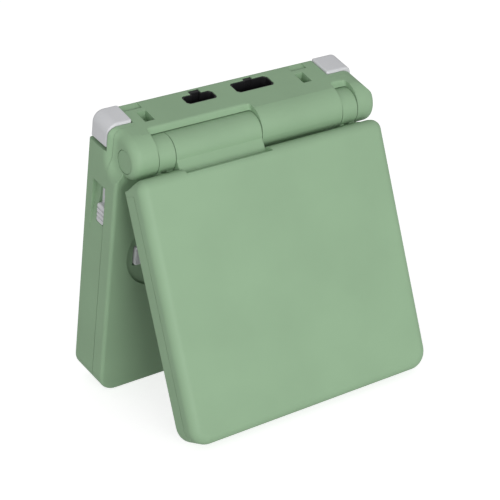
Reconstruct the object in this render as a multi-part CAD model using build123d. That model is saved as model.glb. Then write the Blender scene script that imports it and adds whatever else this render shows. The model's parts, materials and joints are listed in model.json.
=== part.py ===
from build123d import *
import math
import os

# A folding handheld LCD game, stood up like a tent on the front edges of its two
# halves.  Millimetres.  Every piece is drawn in the closed frame and then placed:
#   X  along the hinge, from the player's left to the player's right
#   Y  from the player's front edge towards the hinge, hinge axis at Y = 0
#   Z  from the base towards the closed lid, hinge axis at Z = 0
# The placed model has +Z up, stands at Z = 0, and its hinge runs along X.

# ---------------------------------------------------------------- driving sizes
BODY_WIDTH = 82.0
HALF = BODY_WIDTH / 2
BASE_REACH = 76.9          # hinge axis to the base's front edge
BASE_DEPTH = 14.8          # base's inner face to its back face
LID_REACH = 78.3           # hinge axis to the lid's front edge
LID_DEPTH = 9.1
LID_HINGE_GAP = 5.15       # hinge axis to the lid's own hinge-side edge
CLOSED_GAP = 0.25          # air between the two inner faces when shut
REST_OPENING = 30.4        # degrees between the halves as it stands
FULL_OPENING = 135.0       # the flange stops short of the base's lip here
BIG = 200.0                # reach of a cut that runs right through

PLAN_CORNER = 5.5
LID_HINGE_CORNER = 3.0     # plan radius of the lid's two hinge-side corners
BASE_BACK_EDGE = 1.0       # edge radius round the back face
BASE_INNER_EDGE = 1.0      # edge radius round the button face
LID_OUTER_EDGE = 2.7
LID_INNER_EDGE = 0.8
WALL = 1.5
LID_WALL = 1.3
SEAM_DEPTH = 4.9           # button face to the seam between the base shells
LID_SEAM = 4.7             # lid's inner face to its seam
SEAM_GROOVE = 0.3          # depth of the groove along each seam
SEAM_WIDTH = 0.18

END_FACE_Y = 6.9           # hinge-end face, level with the axis
END_FACE_SLOPE = 5.5       # degrees it leans back
END_WALL = 1.6
SLOPE = math.radians(END_FACE_SLOPE)

HINGE_R = 5.4
HINGE_LEFT_END = 2.1 - HALF
HINGE_RIGHT_END = HALF + 1.8
HINGE_LEFT_ROUND = 2.6
HINGE_RIGHT_ROUND = 2.2
HINGE_RIGHT_SHOULDER = 5.0  # radius over the top of the right end
DISH_START = 3.0           # where the hinge end starts to sweep out to the side wall
DISH_END = 7.6             # where it has reached the side wall
KNUCKLE_LENGTH = 7.6       # left knuckle, cap end to ring
RING_LENGTH = 5.4
LEFT_RING_START = HINGE_LEFT_END + KNUCKLE_LENGTH
LEFT_RING_END = LEFT_RING_START + RING_LENGTH
HALF_SPLIT = 2.5
RIGHT_RING_END = HALF - 4.9
RIGHT_RING_START = RIGHT_RING_END - RING_LENGTH
KNUCKLE_GAP = 0.2
BARREL_CLEARANCE = 0.15    # lid barrel to the trough it turns in
TROUGH_MARGIN = 2.4        # degrees kept free past the full opening
LIP_ROUND = 0.8
LID_RELIEF_R = 7.6         # lid edge cut back round the base's knuckles
TROUGH_CORNER = 1.0        # radius in the corners at the ends of a trough
FLANGE_START = 119.0       # degrees round the wide barrel where its flange leaves it
FLANGE_LEVEL = 5.05        # top of the flange above the lid's inner face, at its far end
FLANGE_NOTCH = 1.05        # how far the lid's edge is cut back over the flange
RING_FLANGE = 2.4          # the same for the two rings, above the hinge axis
RING_SLOT = ((1.2, 1.9), (1.5, 1.9))      # left and right ring: slot start, slot width

PIN_R = 2.5
PIN_BORE_R = 1.6
PIN_REACH = 5.0            # how far the hollow pin runs past its ring
CARTRIDGE_R = 4.0
CARTRIDGE_START = HALF_SPLIT + 4.0
SHAFT_R = 1.9
SHAFT_START = CARTRIDGE_START + 6.0
SHAFT_END = RIGHT_RING_END + 3.1
RUNNING = 0.05             # radial clearance of every turning fit
SEAT = 0.05                # clearance of pieces fixed in a seat
CAP_R = 3.35
CAP_DEPTH = 0.9
CAP_SETBACK = 0.1

# shoulder buttons
SHOULDER_INNER_X = HALF - 8.0
SHOULDER_FRONT = 6.4       # below the inner face
SHOULDER_BACK = 14.5
SHOULDER_RAISE = 0.65      # above the hinge-end face
SHOULDER_FOOT_Y = 1.5
SHOULDER_SKIN = 2.4
SHOULDER_CORNERS = (3.2, 2.4)      # left and right button
SHOULDER_SIDES = (-0.4, 0.9)       # each button's side past the base's side
SHOULDER_INNER_EDGE = 0.4
SHOULDER_EDGE = 0.7
SHOULDER_REAR_EDGE = 0.9
SHOULDER_GAP = 0.2
SHOULDER_DROP = 1.0        # room under the button's foot
SHOULDER_PIVOT_X = HALF - 6.3
SHOULDER_PIVOT_Y = 2.2
SHOULDER_PIN_R = 0.6
SHOULDER_LEG = 3.2         # width of the leg round the pivot
LEG_FOOT_Y = 1.0
SHOULDER_ROOF_Y = 3.7      # underside of the button over its switch
LEDGE_BACK = 13.6          # front of the ledge that holds the pivot's rear end
LEDGE_TOP_Y = 3.6
LEDGE_X = HALF - 2.7
OVERHANG_Y = 4.2           # underside of the button over the ledge
PIN_SEAT = 0.5             # length of pin held in the wall at each end
SWITCH_WIDTH = 1.6
SWITCH_HEIGHT = 2.7
SWITCH_DEPTHS = (8.2, 11.8)

# finger scoops and slide switches in the two sides
SCOOP_TOP_Y = -10.5
SCOOP_BOTTOM_Y = -27.0
SCOOP_BACK = 11.2
SCOOP_DEPTH = 1.7
KNOB_MIDDLE_Y = -19.7      # at the lower end of its slot
KNOB_LENGTH = 5.9
KNOB_HEIGHT = 3.6
KNOB_PROUD = 1.5
RIDGE_PITCH = 1.4
RIDGE_WIDTH = 0.5
RIDGE_DEPTH = 0.3
STEM_HEIGHT = 1.1
STEM_LENGTH = 2.0
VOLUME_TRAVEL = 5.0
POWER_TRAVEL = 3.0
KNOB_ROUND = 0.8
KNOB_EDGE = 0.35
STEM_BITE = 0.9            # how far the stem reaches into its switch
PAD_THICK = 2.0
PLATE_HEIGHT = 3.0
PLATE_THICK = 1.0
SLIDE_SWITCH_DEPTH = 2.7
SWITCH_END = 1.0           # switch body past its groove at each end

# controls on the button face
KEY_TOP = 0.4
KEY_TRAVEL = 0.6
KEY_GAP = 0.25
DISH_DEPTH = 0.7
DPAD_X, DPAD_Y = 17.0 - HALF, -32.0
DPAD_DISH_R = 11.4
DPAD_SPAN = 17.6
DPAD_ARM = 6.0
DPAD_TOP = 0.1
DPAD_HOLLOW = 0.5          # shallow hollow in the middle of the pad
DPAD_HOLLOW_R = 11.9
DPAD_FLANGE_R = 6.5
DPAD_TILT = 3.5            # degrees each way
DPAD_CORNER = 0.8
DPAD_HOLE_CORNER = 0.5
DPAD_GAP = 0.1             # left round the pad when it is tilted fully
A_X, A_Y = HALF - 10.0, -28.5
B_X, B_Y = HALF - 22.0, -34.5
ACTION_R = 4.6
ACTION_DISH = 1.6          # how far the action keys' dish runs past them
ACTION_EDGE = 0.7
MENU_R = 2.3
MENU_X = 5.6
MENU_Y = 10.9 - BASE_REACH
LIGHT_Y = -13.2
LIGHT_LENGTH = 8.0
LIGHT_WIDTH = 3.6
SMALL_KEY_TOP = 0.0
KEY_EDGE = 0.4             # edge radius of the pad and the small keys
KEY_FLANGE = 0.8           # how far a key's flange runs past its hole
FLANGE_THICK = 0.5
PRESS_MARGIN = 0.15        # between a key pressed home and its rubber dome
PIVOT_R = 0.8
INDICATOR_Y = (-33.0, -38.5)
INDICATOR_R = 0.8
INDICATOR_DEPTH = 2.6

# inside the base, as depths below the button face
RUBBER_TOP = 3.7
RUBBER_DOME = 0.15
DOME_R = 1.1               # under each arm of the pad
LIGHT_DOME_R = 1.5
LIGHT_RUBBER_MARGIN = 0.8
RUBBER_MARGIN = 1.2        # rubber sheet short of the action keys' own edges
BOARD_TOP = 4.1
BOARD_GAP = 0.6            # board to the walls
BOSS_GAP = 0.3             # board to the screw posts
SPEAKER_GAP = 0.5
CHIP_THICK = 1.0
# chips on the board's back: (x, y, width, height)
CHIPS = ((-14.0, -22.0, 11.0, 11.0), (14.5, -20.0, 9.0, 12.0), (1.0, -18.0, 8.0, 5.0),
         (-20.0, -13.5, 6.0, 3.0))
CARD_HALF_WIDTH = 29.0
CARD_BAY_END_Y = 31.4 - BASE_REACH
CONNECTOR_LENGTH = 4.5
CONNECTOR_SHORT = 0.5      # short of the bay at each side
CONNECTOR_END = 2.5        # solid end of the connector
CONNECTOR_BACK = 1.5       # its closed back wall
CARD_MOUTH = (7.2, 10.6)   # depths of the opening a card slides into
CARD_PIN_COUNT = 32
CARD_PIN_PITCH = 1.5
CARD_PIN_WIDTH = 0.8
CARD_PIN_THICK = 0.5
CARD_PIN_SETBACK = 0.6
BATTERY_X0, BATTERY_X1 = -24.0, 28.0
BATTERY_Y0, BATTERY_Y1 = -35.4, -9.6
BATTERY_THICK = 4.6
BATTERY_ROUND = 1.0
CONTACT_PITCH = 5.0
CONTACT_WIDTH = 2.4
CONTACT_HEIGHT = 3.4
TRAY_WALL = 1.0
TRAY_ROOF = 7.2
TRAY_GAP = 0.3
BAY_GAP = 0.2
RIB = 1.0
BAY_MOUTH_X = 24.0
BAY_MOUTH_REACH = 7.5
COVER_THICK = 1.3
COVER_GAP = 0.15
COVER_CORNER = 1.2
COVER_PAD = 1.0            # thickness of the seat under the cover's tab
COVER_RIB_IN = (8.0, 3.0)  # ribs on the cover: in from its sides and ends
TAB_HALF = 3.6
HOOK_HALF = 3.0
HOOK_REACH = 1.6
HOOK_THICK = 0.8
HOOK_ROOM = 1.0            # height of the pocket each hook goes into
HOOK_NECK = 0.5            # underside of the hook's neck above the back face
HOOK_X = (-12.0, 16.0)
COVER_SCREW = (22.0, -5.6)
COVER_SCREW_SINK = 0.1
COVER_SCREW_HEAD = 0.8
COVER_SCREW_TIP = 6.3      # above the back face
TIP_GAP = 0.2
SPEAKER_R = 9.0
SPEAKER_RIM_GAP = 0.4      # basket to the board
SPEAKER_MAGNET_GAP = 0.3   # magnet to the battery tray
SPEAKER_Y = -36.0
SPEAKER_SLOT_COUNT = 6
SPEAKER_PITCH = 2.3
SPEAKER_SLOT_LENGTH = 9.0
SPEAKER_SLOT_WIDTH = 1.1
SCREW_R = 0.8
SCREW_HEAD_R = 1.8
SCREW_HEAD = 1.3
SCREW_SINK = 1.9           # depth of the head's recess in the back face
SCREW_BITE = 3.2           # thread past the seam
CROSS_LENGTH = 2.4
CROSS_WIDTH = 0.5
CROSS_DEPTH = 0.6
BOSS_R = 2.7
POST_R = BOSS_R - 0.3
FRONT_SCREWS = ((5.5 - HALF, 5.9 - BASE_REACH), (HALF - 5.5, 5.9 - BASE_REACH),
                (5.5 - HALF, 34.9 - BASE_REACH), (HALF - 5.5, 34.9 - BASE_REACH))
REAR_SCREWS = ((5.8 - HALF, -4.0), (HALF - 2.7, -4.0))

# sockets in the hinge-end face: (left, right, depth of front edge, depth of back edge)
POWER_PORT = (-14.0, -3.9, 7.9, 12.0)
POWER_PORT_KEY = (-10.7, -7.1, 13.6)
LINK_PORT = (2.6, 15.4, 7.6, 12.6)
LINK_PORT_KEY = (7.7, 10.7, 13.5)
PORT_DEPTH = 9.0
SOCKET_WALL = 0.4
SOCKET_SETBACK = 0.2       # end of the socket below the hinge-end face
SOCKET_BAY_X = 20.0
SOCKET_NICK = 0.8          # chamfer of a socket's corners
SOCKET_FLOOR = 1.5
TONGUE_END = 2.0           # tongue short of the socket at each side
TONGUE_SETBACK = 1.0
TONGUE_THICK = 1.0
STRIP_END = 2.5            # first contact strip from the socket's side
STRIP_WIDTH = 0.7
STRIP_THICK = 0.15
STRIP_SETBACK = 1.4
STRIP_COUNTS = (4, 6)
LATCH_SLOTS = ((11.4 - HALF, 14.5 - HALF), (HALF - 17.4, HALF - 14.4))
LATCH_FRONT, LATCH_BACK = 5.2, 9.9
LATCH_DEPTH = 2.4
NAIL_CUTS = ((8.6 - HALF, 14.2 - HALF), (HALF - 17.2, HALF - 11.8))
NAIL_FRONT, NAIL_BACK = 11.4, 14.7
NAIL_DEPTH = 0.8

# lid
SCREEN_WIDTH, SCREEN_HEIGHT = 61.2, 40.8
SCREEN_Y = -42.5
LENS_WIDTH, LENS_HEIGHT = BODY_WIDTH - 9.4, 52.0
LENS_THICK = 0.9
LENS_SETBACK = 0.7
LENS_CORNER = 2.0
LENS_GAP = 0.1
WINDOW_MARGIN = 0.8        # opening in the bezel past the picture
BEZEL_PLATE = 2.2
PANEL_WIDTH, PANEL_HEIGHT, PANEL_THICK = 68.0, 48.0, 1.5
LIGHT_GUIDE_THICK = 1.5
FRAME_WALL = 0.7
LID_SCREW_X = HALF - 4.5
LID_SCREW_Y = (-12.5, 4.8 - LID_REACH)
LID_SCREW_LENGTH = 6.4
PLUG_R = 2.0
PLUG_THICK = 0.6
CABLE_WIDTH = 12.0
CABLE_X = -15.0
CABLE_THICK = 0.2
CABLE_BORE_R = 3.6
CABLE_ROOM = 0.2
CABLE_LIFT = 0.1           # ribbon above the light guide
CABLE_TAIL = 10.0          # ribbon lying on the light guide
CABLE_BEND = 1.0           # fold beyond the display's edge
ROLL_GAP = 0.8             # roll inside the barrel's bore
ROLL_THICK = 0.3
ROLL_INSET = 1.5

# ------------------------------------------------------------- worked-out sizes
LID_BOTTOM = CLOSED_GAP
LID_TOP = CLOSED_GAP + LID_DEPTH
TROUGH_R = HINGE_R + BARREL_CLEARANCE
HALF_GAP = KNUCKLE_GAP / 2
FLANGE_BOTTOM = RUBBER_TOP - RUBBER_DOME - KEY_TRAVEL - PRESS_MARGIN
FLANGE_TOP = FLANGE_BOTTOM - FLANGE_THICK
PIVOT_DEPTH = RUBBER_TOP - SEAT - PIVOT_R
ROOF = TROUGH_R + WALL                 # depth that clears the lid's barrels
CAVITY_END_Y = -(TROUGH_R + WALL)
FLOOR = BASE_DEPTH - WALL              # depth of the inside of the back face
NOTCH_FLOOR_Y = SHOULDER_FOOT_Y - SHOULDER_DROP
SHELL_SPLIT_Y = 3.0                    # front shell's end wall starts here
POCKET_FLOOR_X = SCOOP_DEPTH - HALF
PAD_X = WALL - HALF
KNOB_BACK = SEAM_DEPTH + KNOB_HEIGHT + SHOULDER_GAP
STEM_MIDDLE = SEAM_DEPTH + SHOULDER_GAP + KNOB_HEIGHT / 2
SCOOP_ROOM_Y0 = KNOB_MIDDLE_Y - KNOB_LENGTH / 2 - SHOULDER_GAP
PLATE_Y0 = SCOOP_ROOM_Y0 - VOLUME_TRAVEL
PLATE_Y1 = SCOOP_TOP_Y + SHOULDER_GAP
CHANNEL_Y0 = PLATE_Y0 - SHOULDER_GAP
CHANNEL_Y1 = PLATE_Y1 + VOLUME_TRAVEL + SHOULDER_GAP
STEM_ROOM_Y0 = KNOB_MIDDLE_Y - STEM_LENGTH / 2 - SHOULDER_GAP
STEM_ROOM_Y1 = KNOB_MIDDLE_Y + STEM_LENGTH / 2 + VOLUME_TRAVEL + SHOULDER_GAP
FILL_Y = LID_RELIEF_R + LID_WALL + 0.1    # how far the hinge block reaches into the lid


def end_face_y(z):
    """Y of the hinge-end face at height z."""
    return END_FACE_Y - z * math.tan(SLOPE)


def block(x0, x1, y0, y1, z0, z1):
    return Pos((x0 + x1) / 2, (y0 + y1) / 2, (z0 + z1) / 2) * Box(x1 - x0, y1 - y0, z1 - z0)


def rod_x(x0, x1, radius, y=0.0, z=0.0):
    return Pos((x0 + x1) / 2, y, z) * Rot(0, 90, 0) * Cylinder(radius, x1 - x0)


def post(x, y, z0, z1, radius):
    return Pos(x, y, (z0 + z1) / 2) * Cylinder(radius, z1 - z0)


def prism_x(x0, x1, face):
    """A (y, z) face drawn on the YZ plane, run from x0 to x1."""
    return extrude(Pos(x0, 0, 0) * face, x1 - x0, dir=(1, 0, 0))


def polygon_yz(*points):
    return Plane.YZ * make_face(Polyline(*points, close=True))


def rounded_plate(x0, x1, y0, y1, z0, z1, radius):
    plate = block(x0, x1, y0, y1, z0, z1)
    return fillet(plate.edges().filter_by(Axis.Z), radius)


def slot_plate(x, y, length, width, z0, z1):
    """A round-ended plate, long along X."""
    sketch = SlotOverall(length, width)
    return extrude(Pos(x, y, z0) * sketch, z1 - z0)


# ------------------------------------------------------------------ base outside
def base_body():
    """The base without its hinge knuckles, its front corners and face edge rounded."""
    body = prism_x(-HALF, HALF, polygon_yz(
        (-BASE_REACH, 0),
        (-BASE_REACH, -BASE_DEPTH),
        (end_face_y(-BASE_DEPTH), -BASE_DEPTH),
        (end_face_y(0), 0),
    ))
    front = body.edges().filter_by(Axis.Z).filter_by(lambda e: e.center().Y < 0)
    body = fillet(front, PLAN_CORNER)
    face = body.faces().sort_by(Axis.Z)[-1]
    rim = [e for e in face.edges() if e.center().Y < END_FACE_Y - 0.01]
    return fillet(rim, BASE_INNER_EDGE)


def blend_radius():
    """Radius of the arc that runs from the end face onto the top of the barrel."""
    reach = END_FACE_Y * math.cos(SLOPE) - HINGE_R * math.sin(SLOPE)
    return reach / (1 - math.sin(SLOPE))


def knuckle_face(depth):
    """Section of a base knuckle: barrel, blend arc and end face down to -depth."""
    blend = blend_radius()
    front = CenterArc((0, 0), HINGE_R, 90, 90)
    top = CenterArc((0, HINGE_R - blend), blend, END_FACE_SLOPE, 90 - END_FACE_SLOPE)
    sides = Polyline((-HINGE_R, 0), (-HINGE_R, -depth), (end_face_y(-depth), -depth), top @ 0)
    return Plane.YZ * make_face([front, sides, top])


def sweep_face(end_x, side_x):
    """Half plan of a hinge end: flat at end_x, then an S-curve out to side_x, on (x, z)."""
    rise = DISH_END - DISH_START
    turn = 2 * math.atan2(abs(side_x - end_x), rise)
    radius = rise / (2 * math.sin(turn))
    side = 1 if side_x > end_x else -1
    middle = ((end_x + side_x) / 2, -(DISH_START + DISH_END) / 2)
    bow = radius * (1 - math.cos(turn / 2))
    lean = radius * math.sin(turn / 2)
    first = ThreePointArc((end_x, -DISH_START), (end_x + side * bow, -DISH_START - lean), middle)
    last = ThreePointArc(middle, (side_x - side * bow, -DISH_END + lean), (side_x, -DISH_END))
    return first, last


def hinge_end(end_x, side_x, inner_x, radius, shoulder=0.0):
    """End knuckle with the corner of the base behind it, its rim rounded right round."""
    solid = prism_x(min(inner_x, end_x, side_x), max(inner_x, end_x, side_x),
                    knuckle_face(BASE_DEPTH))
    first, last = sweep_face(end_x, side_x)
    plan = make_face([Polyline((inner_x, 2 * HINGE_R), (end_x, 2 * HINGE_R),
                               (end_x, -DISH_START)),
                      first, last,
                      Polyline((side_x, -DISH_END), (side_x, -2 * BASE_DEPTH),
                               (inner_x, -2 * BASE_DEPTH), (inner_x, 2 * HINGE_R))])
    solid &= along_y(plan, -2 * HINGE_R, 2 * END_FACE_Y)
    limit = min(abs(end_x), abs(side_x))
    rim = [e for e in solid.edges() if abs(e.center().X) > limit - 0.01
           and (e.center().Z > 0.01 or e.center().Y > END_FACE_Y / 2)]
    solid = fillet(rim, radius)
    if shoulder:
        wedge = block(inner_x, end_x, -HINGE_R, END_FACE_Y, -BIG, BIG)
        over = wedge.edges().filter_by(Axis.Z).sort_by(Axis.X)[-2:].sort_by(Axis.Y)[-1]
        wedge = Rot(END_FACE_SLOPE, 0, 0) * fillet(over, shoulder)
        wedge += block(inner_x, end_x, -BIG, 0, -BIG, BIG)
        solid &= wedge + block(inner_x, end_x, -BIG, BIG, -BIG, -SHOULDER_FRONT)
    x0, x1 = (-BIG, -limit) if end_x < 0 else (limit, BIG)
    return solid - block(x0, x1, -BIG, 0, -BIG, 0)


def dish(end_x, side_x):
    """Round sweep about the hinge axis, from the axis out to the side wall."""
    first, last = sweep_face(end_x, side_x)
    inner_x = side_x - 20.0 if side_x < 0 else side_x - 10.0
    half = make_face([Polyline((inner_x, 0), (end_x, 0), (end_x, -DISH_START)), first, last,
                      Polyline((side_x, -DISH_END), (inner_x, -DISH_END), (inner_x, 0))])
    return revolve(Plane.XZ * half, Axis.X)


def trough(x0, x1):
    """Room in the base for a barrel of the lid: a wall facing the hinge axis, rounded at
    the lip, just clear of the lid's flange at the full opening."""
    facing = math.radians(FLANGE_START - FULL_OPENING - TROUGH_MARGIN)
    along = Vector(math.cos(facing), math.sin(facing))
    reach = END_FACE_Y / (along.X + along.Y * math.tan(SLOPE))
    corner = along * reach
    down = Vector(math.sin(SLOPE), -math.cos(SLOPE))
    out = Vector(math.cos(SLOPE), math.sin(SLOPE))
    turn = along.get_angle(down)
    run = LIP_ROUND * math.tan(math.radians(turn / 2))
    start = corner - along * run
    end = corner + down * run
    centre = end - out * LIP_ROUND
    cut = make_face(Polyline(
        (0, 0), tuple(along * 3 * reach)[:2], (3 * END_FACE_Y, 2 * HINGE_R),
        (-TROUGH_R, 2 * HINGE_R), (-TROUGH_R, 0), close=True))
    lip = make_face(Polyline(
        tuple(start)[:2], tuple(corner + along)[:2], tuple(corner + along + out)[:2],
        tuple(end + out)[:2], tuple(end)[:2], close=True))
    lip -= Pos(centre.X, centre.Y) * Circle(LIP_ROUND)
    room = extrude(Plane.YZ.offset(x0) * cut, x1 - x0)
    wall = [e for e in room.edges()
            if abs(e.center().Y * along.Y - e.center().Z * along.X) < 0.01
            and e.center().Y > 0.1 and e.length < 4 * reach and abs(e.tangent_at(0.5).X) < 0.01]
    room = fillet(wall, TROUGH_CORNER)
    room += extrude(Plane.YZ.offset(x0) * (Pos(0, 0) * Circle(TROUGH_R)), x1 - x0)
    return room + extrude(Plane.YZ.offset(x0 + TROUGH_CORNER) * lip, x1 - x0 - 2 * TROUGH_CORNER)


def base_outline():
    """The whole outside of the base, still solid."""
    body = base_body()
    left_inner = LEFT_RING_START - HALF_GAP
    right_inner = RIGHT_RING_END + HALF_GAP
    for x0, x1 in ((-BIG, HINGE_LEFT_END + 2 * HINGE_LEFT_ROUND),
                   (HINGE_RIGHT_END - 2 * HINGE_RIGHT_ROUND, BIG)):
        body -= block(x0, x1, 0, BIG, -BIG, BIG)
    body -= dish(HINGE_LEFT_END, -HALF)
    boss = dish(HINGE_RIGHT_END, HALF)
    body += boss & block(right_inner, BIG, -BIG, 0, -BASE_DEPTH, 0)
    body += hinge_end(HINGE_LEFT_END, -HALF, left_inner, HINGE_LEFT_ROUND)
    body += hinge_end(HINGE_RIGHT_END, HALF, right_inner, HINGE_RIGHT_ROUND,
                      HINGE_RIGHT_SHOULDER)
    body = fillet(body.faces().sort_by(Axis.Z)[0].edges(), BASE_BACK_EDGE)
    body -= trough(LEFT_RING_START - HALF_GAP, HALF_SPLIT + HALF_GAP)
    body -= trough(RIGHT_RING_START - HALF_GAP, RIGHT_RING_END + HALF_GAP)
    body += prism_x(HALF_SPLIT + HALF_GAP, RIGHT_RING_START - HALF_GAP,
                    knuckle_face(SHOULDER_FRONT - SHOULDER_GAP))
    for x0, x1 in NAIL_CUTS:
        body -= prism_x(x0, x1, polygon_yz(
            (end_face_y(-NAIL_FRONT) - NAIL_DEPTH, -NAIL_FRONT),
            (end_face_y(-NAIL_FRONT) + 1, -NAIL_FRONT),
            (end_face_y(-NAIL_BACK) + 1, -NAIL_BACK),
            (end_face_y(-NAIL_BACK), -NAIL_BACK)))
    return body


# ------------------------------------------------------------- base shells
def base_room():
    """The space inside the base."""
    wide = HALF - WALL
    room = rounded_plate(-wide, wide, WALL - BASE_REACH, CAVITY_END_Y,
                         -FLOOR, -WALL, PLAN_CORNER - WALL)
    room += block(-wide, wide, CAVITY_END_Y - 1, NOTCH_FLOOR_Y - WALL, -FLOOR, -ROOF)
    room += block(-SOCKET_BAY_X, SOCKET_BAY_X, CAVITY_END_Y - 1, END_FACE_Y - END_WALL,
                  -FLOOR, -ROOF)
    return room


def shoulder_notch(side):
    """Room for a shoulder button, open at the back above and outside the pivot's ledge."""
    outer = side * BIG
    inner = side * (SHOULDER_INNER_X - SHOULDER_GAP)
    x0, x1 = sorted((inner, outer))
    front = -SHOULDER_FRONT + SHOULDER_GAP
    room = block(x0, x1, NOTCH_FLOOR_Y, BIG, -LEDGE_BACK, front)
    room += block(x0, x1, LEDGE_TOP_Y, BIG, -BIG, front)
    x0, x1 = sorted((side * LEDGE_X, outer))
    return room + block(x0, x1, NOTCH_FLOOR_Y, BIG, -BIG, front)


def seam_groove(z0, z1, reach, far_y):
    """Shallow groove round the sides and front edge of a half."""
    near = SEAM_GROOVE
    solid = block(-BIG, BIG, -BIG, far_y, z0, z1)
    return solid - rounded_plate(near - HALF, HALF - near, near - reach, BIG, z0 - 1, z1 + 1,
                                 PLAN_CORNER - near)


def front_region():
    """The part of the base that belongs to the button-side shell."""
    region = block(-BIG, BIG, -BIG, BIG, -SEAM_DEPTH, BIG)
    region += block(-SHOULDER_INNER_X + SHOULDER_GAP, SHOULDER_INNER_X - SHOULDER_GAP,
                    SHELL_SPLIT_Y, BIG, -BIG, BIG)
    return region


def hinge_bores():
    """Everything bored along the hinge axis of the base."""
    left_floor = HINGE_LEFT_END + CAP_SETBACK + CAP_DEPTH
    right_floor = HINGE_RIGHT_END - CAP_SETBACK - CAP_DEPTH
    bores = rod_x(-BIG, left_floor, CAP_R + SEAT)
    bores += rod_x(left_floor, LEFT_RING_START, PIN_R + SEAT)
    bores += rod_x(CARTRIDGE_START - SEAT, RIGHT_RING_START, CARTRIDGE_R + SEAT)
    bores += rod_x(RIGHT_RING_END, SHAFT_END + SEAT, SHAFT_R + RUNNING)
    bores += rod_x(right_floor, BIG, CAP_R + SEAT)
    return bores


def pin_run(side, grow):
    return post(side * SHOULDER_PIVOT_X, SHOULDER_PIVOT_Y,
                -LEDGE_BACK - PIN_SEAT - grow,
                -SHOULDER_FRONT + SHOULDER_GAP + PIN_SEAT + grow,
                SHOULDER_PIN_R + grow)


def shoulder_pins():
    return Compound([pin_run(side, 0) for side in (-1, 1)])


def shoulder_pin_holes():
    return [pin_run(side, SEAT) for side in (-1, 1)]


def socket_face(port, key, grow=0.0):
    """Outline of a socket, chamfered, with its key notch, drawn on (x, z)."""
    x0, x1, front, back = port
    k0, k1, notch = key
    nick = SOCKET_NICK
    return make_face(Polyline(
        (x0 - grow + nick, -front + grow), (x1 + grow - nick, -front + grow),
        (x1 + grow, -front + grow - nick), (x1 + grow, -back - grow + nick),
        (x1 + grow - nick, -back - grow), (k1 + grow, -back - grow),
        (k1 + grow, -notch - grow), (k0 - grow, -notch - grow),
        (k0 - grow, -back - grow), (x0 - grow + nick, -back - grow),
        (x0 - grow, -back - grow + nick), (x0 - grow, -front + grow - nick), close=True))


def along_y(face, y0, y1):
    """A face drawn on (x, z), run from y0 to y1."""
    return extrude(Plane.XZ.offset(-y0) * face, -(y1 - y0))


def latch_slots():
    slots = []
    for x0, x1 in LATCH_SLOTS:
        floor_y = end_face_y(-LATCH_FRONT) - LATCH_DEPTH
        slots.append(block(x0, x1, floor_y, BIG, -LATCH_BACK, -LATCH_FRONT))
    return slots


def speaker_slots():
    first = -(SPEAKER_SLOT_COUNT - 1) / 2 * SPEAKER_PITCH
    slots = []
    for i in range(SPEAKER_SLOT_COUNT):
        slot = extrude(SlotOverall(SPEAKER_SLOT_LENGTH, SPEAKER_SLOT_WIDTH), WALL, both=True)
        slots.append(Pos(first + i * SPEAKER_PITCH, SPEAKER_Y, -WALL / 2) * Rot(0, 0, 90) * slot)
    return slots


def cross_face(span, arm, corner):
    face = Rectangle(span, arm) + Rectangle(arm, span)
    return fillet(face.vertices(), corner)


def key_openings():
    """Dishes and holes for the controls, all cut from the button face."""
    cuts = [post(DPAD_X, DPAD_Y, -DISH_DEPTH, BIG, DPAD_DISH_R)]
    tilt_gap = (DPAD_TOP + PIVOT_DEPTH) * math.tan(math.radians(DPAD_TILT)) + DPAD_GAP
    cuts.append(extrude(Pos(DPAD_X, DPAD_Y, -BASE_DEPTH / 2) * cross_face(
        DPAD_SPAN + 2 * tilt_gap, DPAD_ARM + 2 * tilt_gap,
        DPAD_HOLE_CORNER), BASE_DEPTH))
    width = 2 * (ACTION_R + ACTION_DISH)
    length = math.hypot(A_X - B_X, A_Y - B_Y) + width
    turn = math.degrees(math.atan2(A_Y - B_Y, A_X - B_X))
    cuts.append(Pos((A_X + B_X) / 2, (A_Y + B_Y) / 2, -DISH_DEPTH) * Rot(0, 0, turn)
                * extrude(SlotOverall(length, width), BASE_DEPTH))
    for x, y in ((A_X, A_Y), (B_X, B_Y)):
        cuts.append(post(x, y, -BASE_DEPTH / 2, BIG, ACTION_R + KEY_GAP))
    for x in (-MENU_X, MENU_X):
        cuts.append(post(x, MENU_Y, -BASE_DEPTH / 2, BIG, MENU_R + KEY_GAP))
    cuts.append(slot_plate(0, LIGHT_Y, LIGHT_LENGTH + 2 * KEY_GAP,
                           LIGHT_WIDTH + 2 * KEY_GAP, -BASE_DEPTH / 2, BASE_DEPTH))
    return cuts


def indicator(y, grow=0.0):
    return rod_x(HALF - WALL - grow, HALF + grow, INDICATOR_R + grow, y, -INDICATOR_DEPTH)


def base_front_shell(outline):
    shell = outline & front_region()
    shell -= base_room()
    for side in (-1, 1):
        shell -= shoulder_notch(side)
    shell -= hinge_bores()
    for cut in key_openings() + speaker_slots() + latch_slots() + shoulder_pin_holes():
        shell -= cut
    shell -= along_y(socket_face(POWER_PORT, POWER_PORT_KEY), 0, 2 * END_FACE_Y)
    shell -= along_y(socket_face(LINK_PORT, LINK_PORT_KEY), 0, 2 * END_FACE_Y)
    for x, y in FRONT_SCREWS:
        shell += post(x, y, -SEAM_DEPTH, -WALL, POST_R)
    for x, y in FRONT_SCREWS + REAR_SCREWS:
        shell -= post(x, y, -SEAM_DEPTH, SCREW_BITE - SEAM_DEPTH + SEAT, SCREW_R + SEAT)
    for y in INDICATOR_Y:
        shell -= indicator(y, SEAT)
    return shell - seam_groove(-SEAM_DEPTH, SEAM_WIDTH - SEAM_DEPTH, BASE_REACH,
                               CAVITY_END_Y - HINGE_R)


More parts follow.
